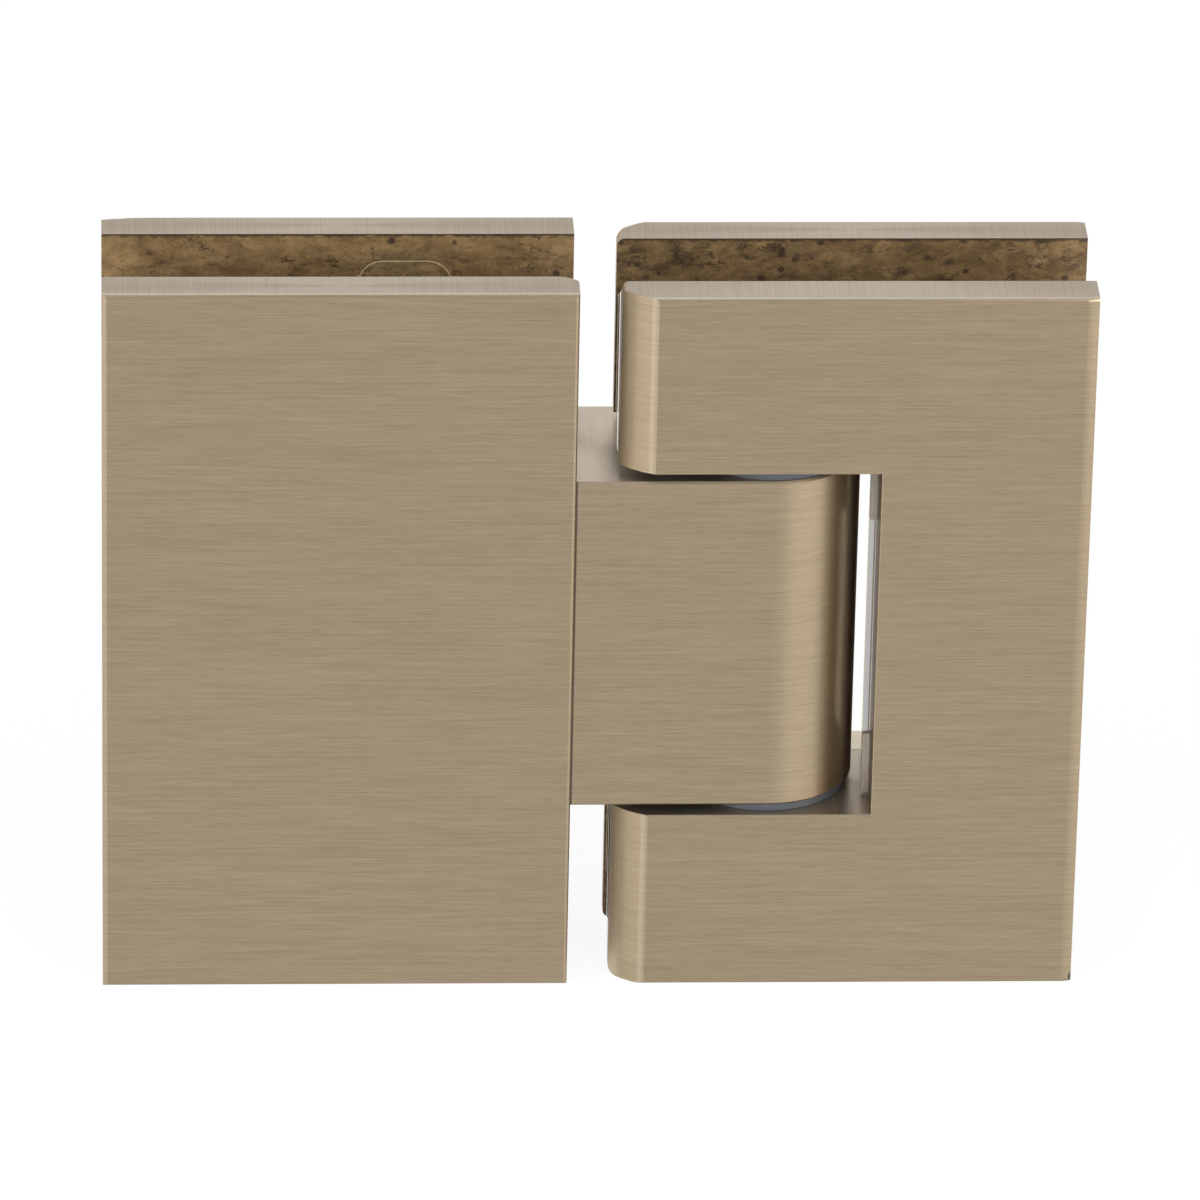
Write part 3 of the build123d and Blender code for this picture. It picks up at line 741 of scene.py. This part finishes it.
def screw(name, stands_for, body, axis, pitch, flats, socket, head=None):
    """A screw as rings about its axis, from the socket's floor to the tip. The socket's radius is a
    hexagon's, half the flats over the cosine of the angle from the nearest flat's middle. The thread's
    radius is the shank's less a trapezoid wave of depth over pitch minus turn, so that its crest is a
    helix. It stays inside the CAD's screw."""
    ease = 0.12 * MM
    groove = 0.6 * pitch
    low, high = (np.array(corner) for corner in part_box(stands_for))
    middle = (low + high) / 2
    lane = int(np.argmax(np.abs(axis)))
    u_axis, v_axis = [k for k in range(3) if k != lane]
    length = float(high[lane] - low[lane])
    start = high[lane] if axis[lane] < 0 else low[lane]
    widest = float(high[u_axis] - low[u_axis]) / 2
    shank = head["shank"] if head else widest
    theta = np.linspace(0.0, 2.0 * np.pi, 72, endpoint=False)
    one = np.ones_like(theta)
    hexagon = flats / 2 / np.cos(np.mod(theta + np.pi / 6, np.pi / 3) - np.pi / 6)
    rings = [
        (hexagon - ease, socket), (hexagon, socket - ease), (hexagon, 2 * ease), (hexagon + 1.5 * ease, 0.0),
    ]
    if head:
        thread_from = head["height"]
        rings += [
            ((widest - 2 * ease) * one, 0.0), ((widest - 0.4 * ease) * one, 0.5 * ease),
            (widest * one, 1.6 * ease), (shank * one, thread_from),
        ]
    else:
        thread_from = 2 * ease
        rings += [((shank - 0.45 * pitch) * one, 0.0)]
    steps = np.arange(thread_from, length - 0.6 * pitch, pitch / 10)[1:]
    wave = np.abs(2.0 * np.mod(steps[:, None] / pitch - theta[None, :] / (2.0 * np.pi), 1.0) - 1.0)
    crest = np.clip((wave - 0.14) / 0.66, 0.0, 1.0)
    fade = np.clip((steps - thread_from) / (1.5 * pitch), 0.0, 1.0)[:, None] if head else 1.0
    thread = shank - groove * fade * (1.0 - crest)
    tip = (shank - 0.62 * pitch) * one[None]
    radius = np.concatenate([np.stack([r for r, _ in rings]), thread, tip])
    depth = np.concatenate([[d for _, d in rings], steps, [length]])
    points = np.empty(radius.shape + (3,))
    points[..., lane] = start + np.sign(axis[lane]) * depth[:, None]
    points[..., u_axis] = middle[u_axis] + radius * np.cos(theta)
    points[..., v_axis] = middle[v_axis] + radius * np.sin(theta)
    made = surface(name, points, SCREW, body, 28.0)
    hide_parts(stands_for)
    return made


def rounded(corners, radius, steps=6):
    """An outline of square corners, each replaced by a quarter round: with p and n the unit ways to the
    corners before and after, the round's points are corner + r (p + n) - r (n cos a + p sin a) for a from 0
    to a quarter turn."""
    corners = np.array(corners, float)
    radius = np.broadcast_to(radius, len(corners))[:, None, None]
    before = np.roll(corners, 1, axis=0) - corners
    after = np.roll(corners, -1, axis=0) - corners
    before = (before / np.linalg.norm(before, axis=1, keepdims=True))[:, None]
    after = (after / np.linalg.norm(after, axis=1, keepdims=True))[:, None]
    angle = np.linspace(0.0, np.pi / 2, steps)[None, :, None]
    ring = corners[:, None] + radius * (before + after)
    ring = ring - radius * (after * np.cos(angle) + before * np.sin(angle))
    return ring.reshape(-1, 2)


# Rows of a sheet's profile that carry the painted glow of its cut rim
RIM_ROWS = np.array([0, 0, 0, 0, 0, 1, 1, 0], float)


def sheet(name, stands_for, body, corners, radius, side, material=None):
    """A clear sheet: its outline in X and Z carried through its thickness by a profile with eased rims.
    Each ring is the outline moved inwards by the profile's inset. It stands a hair off the plate that it
    lies on. With a material of its own it is a tab beside the sheet, and the sheet alone stands for the
    CAD's piece."""
    hair = 0.03 * MM
    rim = 0.12 * MM
    low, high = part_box(stands_for)
    face, back = (low.y + hair, high.y) if side < 0 else (high.y - hair, low.y)
    outline = rounded(corners, radius)
    tangent = np.roll(outline, -1, axis=0) - np.roll(outline, 1, axis=0)
    tangent /= np.linalg.norm(tangent, axis=1, keepdims=True)
    inward = np.stack((-tangent[:, 1], tangent[:, 0]), axis=-1)
    angle = np.linspace(0.0, np.pi / 2, 4)
    inset = np.concatenate((rim * (1 - np.sin(angle)), rim * (1 - np.cos(angle))))
    run = np.sign(back - face)
    y = np.concatenate((face + run * rim * (1 - np.cos(angle)), back - run * rim * (1 - np.sin(angle))))
    plan = outline[None] + inset[:, None, None] * inward[None]
    points = np.stack((plan[..., 0], np.broadcast_to(y[:, None], plan.shape[:2]), plan[..., 1]), axis=-1)
    if material:
        return surface(name, points, material, body, 40.0)
    made = surface(name, points, VINYL, body, 40.0, RIM_ROWS)
    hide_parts(stands_for)
    return made


coil_spring("upper_detent_coil", "upper_spring")
coil_spring("lower_detent_coil", "lower_spring")

COUNTERSUNK = {"shank": 3.0 * MM, "height": 3.1 * MM}
CLAMP_THREAD = {"pitch": 1.0 * MM, "flats": 4.0 * MM, "socket": 2.4 * MM}
SPRING_GRUB_THREAD = {"pitch": 1.0 * MM, "flats": 3.0 * MM, "socket": 2.5 * MM}
PIN_GRUB_THREAD = {"pitch": 0.8 * MM, "flats": 2.5 * MM, "socket": 2.0 * MM}
FROM_BACK = (0, -1, 0)
FROM_LEFT = (1, 0, 0)
for leaf, body in (("fixed", "fixed_leaf"), ("door", "door_leaf")):
    for level in ("upper", "lower"):
        piece, stands_for = f"{leaf}_{level}_countersunk_screw", f"{leaf}_{level}_clamp_screw"
        screw(piece, stands_for, body, FROM_BACK, **CLAMP_THREAD, head=COUNTERSUNK)
for level in ("upper", "lower"):
    screw(f"{level}_spring_grub", f"{level}_spring_screw", "fixed_leaf", FROM_LEFT, **SPRING_GRUB_THREAD)
    screw(f"{level}_pin_grub", f"{level}_pin_screw", "door_leaf", FROM_LEFT, **PIN_GRUB_THREAD)

# Sizes of the clear sheets
SHEET_CLEARANCE = 0.4 * MM
EAR_MIDDLE = FIXED_END - 19.7 * MM
EAR_HALF = 5.5 * MM
EAR_HEIGHT = 3.5 * MM
TAB_REACH = 0.85 * MM
TAB_ROOT = 0.43 * MM
TAB_SLIT = 0.02 * MM
UPPER_TAB_LENGTH = 7.93 * MM
LOWER_TAB_LENGTH = 7.73 * MM
FRONT_SHEET_NEAR = DOOR_END - 0.12 * MM

# The sheets and tabs along the window's wall: the front sheet is cut back to leave room for the tabs
WALL_TOP = WINDOW_TOP - SHEET_CLEARANCE
WALL_FOOT = WINDOW_FOOT + SHEET_CLEARANCE
UPPER_TAB = (WALL_TOP - UPPER_TAB_LENGTH, WALL_TOP)
LOWER_TAB = (WALL_FOOT, WALL_FOOT + LOWER_TAB_LENGTH)
CUT_BACK = WINDOW_WALL + TAB_ROOT + TAB_SLIT
UPPER_CUT = UPPER_TAB[0] - TAB_SLIT
LOWER_CUT = LOWER_TAB[1] + TAB_SLIT
FRONT_WALL = [
    (CUT_BACK, WALL_TOP), (CUT_BACK, UPPER_CUT), (WINDOW_WALL, UPPER_CUT),
    (WINDOW_WALL, LOWER_CUT), (CUT_BACK, LOWER_CUT), (CUT_BACK, WALL_FOOT),
]
BACK_WALL = [(WINDOW_WALL, WALL_TOP), (WINDOW_WALL, WALL_FOOT)]


def fixed_outline(stands_for, ear_height=0.0):
    """A sheet of the fixed leaf, cut out for the knuckle's tongue, with or without an ear above and below.
    Anticlockwise from the lower far corner."""
    low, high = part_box(stands_for)
    foot, top = low.z + ear_height, high.z - ear_height
    cut_x = KNUCKLE_LOW.x - SHEET_CLEARANCE
    cut_foot, cut_top = KNUCKLE_LOW.z - SHEET_CLEARANCE, KNUCKLE_HIGH.z + SHEET_CLEARANCE
    cut = [(high.x, cut_foot), (cut_x, cut_foot), (cut_x, cut_top), (high.x, cut_top)]
    left, right = EAR_MIDDLE - EAR_HALF, EAR_MIDDLE + EAR_HALF
    lower_ear = [(left, foot), (left, low.z), (right, low.z), (right, foot)] if ear_height else []
    upper_ear = [(right, top), (right, high.z), (left, high.z), (left, top)] if ear_height else []
    return [(low.x, foot), *lower_ear, (high.x, foot), *cut, (high.x, top), *upper_ear, (low.x, top)]


def door_outline(stands_for, near, wall):
    """A sheet of the door leaf, open at the window, with a pocket round each boss and its own points along
    the window's wall. Anticlockwise from the lower near corner."""
    low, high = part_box(stands_for)
    boss_near, boss_far = BOSS_NEAR - SHEET_CLEARANCE, BOSS_FAR + SHEET_CLEARANCE
    boss_foot, boss_top = BOSS_FOOT - SHEET_CLEARANCE, BOSS_TOP + SHEET_CLEARANCE
    arm_foot, arm_top = WINDOW_TOP + SHEET_CLEARANCE, WINDOW_FOOT - SHEET_CLEARANCE
    corners = [(near, low.z), (high.x, low.z), (high.x, high.z), (near, high.z)]
    upper_pocket = [
        (near, arm_foot), (boss_near, arm_foot), (boss_near, boss_top),
        (boss_far, boss_top), (boss_far, WALL_TOP),
    ]
    lower_pocket = [
        (boss_far, WALL_FOOT), (boss_far, boss_foot), (boss_near, boss_foot),
        (boss_near, arm_top), (near, arm_top),
    ]
    return [*corners, *upper_pocket, *wall, *lower_pocket]


# Rounds of the sheets' corners, in the order of their outlines
CORNER_ROUND = 1.0 * MM
TAB_ROUND = 0.3 * MM
DOOR_BACK_ROUND = 0.4 * MM
EAR_ROUNDS = np.array([0.5, 2.9, 2.9, 0.5]) * MM
FIXED_BACK_ROUNDS = np.concatenate(
    ([CORNER_ROUND], EAR_ROUNDS, np.full(6, CORNER_ROUND), EAR_ROUNDS, [CORNER_ROUND])
)
DOOR_FRONT_ROUNDS = np.repeat([1.0, 0.5, 0.4, 0.2, 0.4, 0.5], [4, 1, 4, 6, 4, 1]) * MM

FRONT, BACK = -1, 1
sheet("fixed_front_sheet", "fixed_front_gasket", "fixed_leaf",
      fixed_outline("fixed_front_gasket"), CORNER_ROUND, FRONT)
sheet("fixed_back_sheet", "fixed_back_gasket", "fixed_leaf",
      fixed_outline("fixed_back_gasket", EAR_HEIGHT), FIXED_BACK_ROUNDS, BACK)
sheet("door_front_sheet", "door_front_gasket", "door_leaf",
      door_outline("door_front_gasket", FRONT_SHEET_NEAR, FRONT_WALL), DOOR_FRONT_ROUNDS, FRONT)
for name, (foot, top) in (("upper_window_tab", UPPER_TAB), ("lower_window_tab", LOWER_TAB)):
    left, right = WINDOW_WALL - TAB_REACH, WINDOW_WALL + TAB_ROOT
    corners = [(left, foot), (right, foot), (right, top), (left, top)]
    sheet(name, "door_front_gasket", "door_leaf", corners, TAB_ROUND, FRONT, VINYL_TAB)
BACK_SHEET_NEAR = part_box("door_back_gasket")[0].x
sheet("door_back_sheet", "door_back_gasket", "door_leaf",
      door_outline("door_back_gasket", BACK_SHEET_NEAR, BACK_WALL), DOOR_BACK_ROUND, BACK)


# Studio: pale floor and backdrop, two soft boxes in front, one above
def studio_white(name, colour, share):
    """A pale matt surface that eyes and mirrors see as white by share, with its shadows in the rest."""
    material, tree, shader = new_material(name)
    feed(tree, shader.inputs, {"Base Color": colour, "Roughness": 0.9, "Specular IOR Level": 0.0})
    path = node(tree, "ShaderNodeLightPath").outputs
    seen = maths(tree, "MAXIMUM", path["Is Camera Ray"], path["Is Glossy Ray"])
    seen = maths(tree, "MAXIMUM", seen, path["Is Transmission Ray"])
    glow = node(tree, "ShaderNodeEmission", {"Color": (1.0, 1.0, 1.0), "Strength": 1.0}).outputs[0]
    mixed = node(tree, "ShaderNodeMixShader", {0: times(tree, seen, share), 1: shader.outputs[0], 2: glow})
    tree.links.new(mixed.outputs[0], tree.nodes["Material Output"].inputs["Surface"])
    return material


def sweep(width, near, far, rise, radius):
    """Floor and backdrop in one: a profile of a level run, a quarter round and an upright run, carried
    across X."""
    angle = np.linspace(0.0, np.pi / 2, 13)
    y = np.concatenate(([-near], far - radius + radius * np.sin(angle), [far]))
    z = np.concatenate(([0.0], radius - radius * np.cos(angle), [rise])) + FLOOR
    x = np.array([-width / 2, width / 2])
    grid = np.stack(np.broadcast_arrays(x[:, None], y[None, :], z[None, :]), axis=-1).reshape(-1, 3)
    first = np.arange(len(y) - 1)
    quads = np.stack((first, first + len(y), first + len(y) + 1, first + 1), axis=-1)
    mesh = bpy.data.meshes.new("studio_sweep")
    mesh.from_pydata(grid.tolist(), [], quads.tolist())
    mesh.polygons.foreach_set("use_smooth", np.ones(len(mesh.polygons), bool))
    made = bpy.data.objects.new("studio_sweep", mesh)
    bpy.context.scene.collection.objects.link(made)
    return made


def soft_box(name, place, size, power):
    """A rectangular area lamp at place that faces the origin."""
    data = bpy.data.lights.new(name, "AREA")
    data.shape = "RECTANGLE"
    data.size, data.size_y = size
    data.energy = power
    made = bpy.data.objects.new(name, data)
    facing = Vector(place).to_track_quat("Z", "Y").to_matrix().to_4x4()
    made.matrix_world = Matrix.Translation(place) @ facing
    bpy.context.scene.collection.objects.link(made)


floor = sweep(width=12.0, near=4.0, far=3.0, rise=5.0, radius=0.8)
floor.data.materials.append(studio_white("studio_white", (0.86, 0.86, 0.86), share=0.92))

for name, side in (("left_box", -1), ("right_box", 1)):
    soft_box(name, place=(side * 0.884, -0.796, 0.35), size=(1.43, 1.1), power=24.0)
soft_box("top_box", place=(0.0, 0.2, 1.8), size=(2.6, 2.6), power=16.0)

SKY_LIGHT = 0.45
SKY_SEEN = 1.0
world = bpy.data.worlds.new("studio_world")
bpy.context.scene.world = world
world.use_nodes = True
sky = world.node_tree
sky_path = node(sky, "ShaderNodeLightPath").outputs
feed(sky, sky.nodes["Background"].inputs, {
    "Color": (1.0, 1.0, 1.0),
    "Strength": span(sky, sky_path["Is Camera Ray"], SKY_LIGHT, SKY_SEEN),
})

# Camera: place, and turns in radians, fitted to the photograph's edges
CAMERA_PLACE = Vector((-58.18, -1107.738, 546.513)) * MM
CAMERA_YAW = -0.05344
CAMERA_PITCH = -0.45744
CAMERA_ROLL = -0.02135
camera_data = bpy.data.cameras.new("camera")
camera_data.sensor_fit = "HORIZONTAL"
camera_data.sensor_width = 36.0
camera_data.lens = 315.0
camera_data.clip_start = 0.05
camera_data.clip_end = 50.0
camera = bpy.data.objects.new("camera", camera_data)
bpy.context.scene.collection.objects.link(camera)
yaw_pitch = Matrix.Rotation(CAMERA_YAW, 3, "Z") @ Matrix.Rotation(CAMERA_PITCH, 3, "X")
turn = yaw_pitch @ Matrix.Rotation(CAMERA_ROLL, 3, "Y")
right, forward, up = turn.col[0], turn.col[1], turn.col[2]
facing = Matrix((right, up, -forward)).transposed().to_4x4()
camera.matrix_world = Matrix.Translation(CAMERA_PLACE) @ facing
bpy.context.scene.camera = camera
bpy.context.scene.view_settings.view_transform = "Standard"
